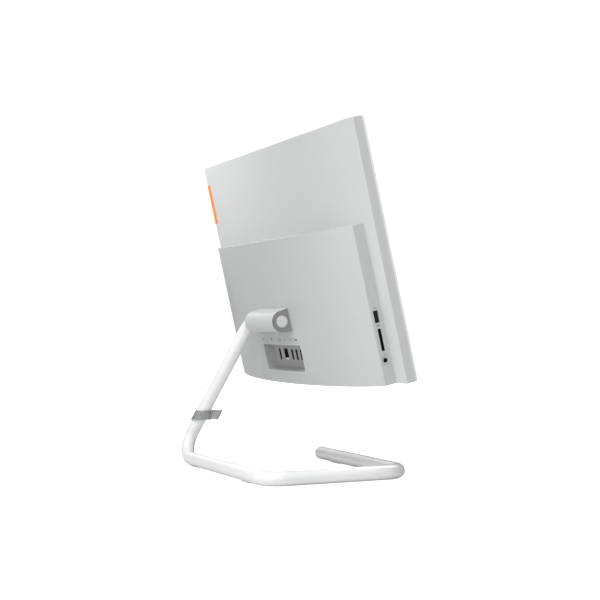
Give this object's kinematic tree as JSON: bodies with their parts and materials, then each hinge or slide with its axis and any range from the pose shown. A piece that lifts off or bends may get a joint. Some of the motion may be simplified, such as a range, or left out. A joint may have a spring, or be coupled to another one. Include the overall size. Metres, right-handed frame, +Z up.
{
  "type": "all in one pc",
  "caption": "All-in-one computer: flat screen slab with a bowed rear housing and port recess, tilting on a barrel hinge over an open stand bent from round tube.",
  "frame": {"origin": "centre of the footprint on the floor", "axes": "+X the user's right, screen faces -Y, +Z up"},
  "size_m": [0.4896, 0.2118, 0.427],
  "materials": {
    "shell_white": "satin",
    "bezel_white": "gloss",
    "cover_grey": "satin",
    "recess_grey": "matt",
    "tube_white": "satin",
    "screen_glass": "gloss",
    "black_plastic": "matt",
    "orange_tab": "matt",
    "plug_white": "satin",
    "clear_plastic": "clear",
    "rubber_grey": "matt",
    "steel": "bright",
    "zinc_steel": "zinc plated",
    "circuit_board": "solder mask",
    "aluminium": "satin",
    "copper": "polished",
    "light_white": "translucent",
    "bronze_bush": "sintered",
    "lens_glass": "coated",
    "tray_steel": "film and light guide stack"
  },
  "bodies": {
    "stand": {"stand_tube": "tube_white", "hinge_cap": "plug_white", "tube_end_plug": "plug_white", "axle_collars": "steel", "rubber_feet": "rubber_grey"},
    "display": {"back_cover": "cover_grey", "backlight_tray": "tray_steel", "board_screws": "steel", "bracket_screws": "steel", "camera_board": "circuit_board", "camera_lens": "lens_glass", "card_socket": "steel", "chassis_plate": "zinc_steel", "coin_cell": "steel", "drive_tray": "zinc_steel", "edge_tab": "orange_tab", "fan_housing": "black_plastic", "fan_lid": "zinc_steel", "friction_bushes": "bronze_bush", "front_bezel": "bezel_white", "hard_drive": "aluminium", "hdmi_socket": "steel", "headset_jack": "black_plastic", "heat_fins": "aluminium", "heat_pipe": "copper", "heat_spreader": "copper", "hinge_barrel": "cover_grey", "hinge_bracket": "zinc_steel", "mainboard": "circuit_board", "memory_modules": "circuit_board", "memory_sockets": "black_plastic", "network_light": "light_white", "network_socket": "black_plastic", "port_recess": "recess_grey", "power_board": "circuit_board", "power_inlet": "black_plastic", "processor": "circuit_board", "radio_card": "circuit_board", "rear_io_board": "circuit_board", "rear_shell": "shell_white", "rear_usb_sockets": "steel", "screen_glass": "screen_glass", "side_io_board": "circuit_board", "side_usb_socket": "steel", "solid_state_drive": "circuit_board", "speakers": "black_plastic", "standoffs": "steel"},
    "clip": {"cable_clip": "clear_plastic"},
    "button": {"power_button": "bezel_white"},
    "rotor": {"fan_rotor": "black_plastic"}
  },
  "joints": [
    {"name": "display_tilt", "type": "hinge", "parent": "stand", "child": "display", "pos_m": [0, 0.02975, 0.1943], "axis": [-1, 0, 0], "range_deg": [-18, 12]},
    {"name": "clip_slide", "type": "slide", "parent": "stand", "child": "clip", "axis": [-0.3997, -0.3193, 0.8593], "range_m": [-0.008, 0.055]},
    {"name": "power_press", "type": "slide", "parent": "display", "child": "button", "axis": [0, 0.225, 0.9744], "range_m": [0, 0.0008], "stiffness_N_per_m": 1500},
    {"name": "fan_spin", "type": "hinge", "parent": "display", "child": "rotor", "pos_m": [-0.127, -0.00064, 0.25161], "axis": [0, 0.9744, -0.225], "continuous": true}
  ]
}
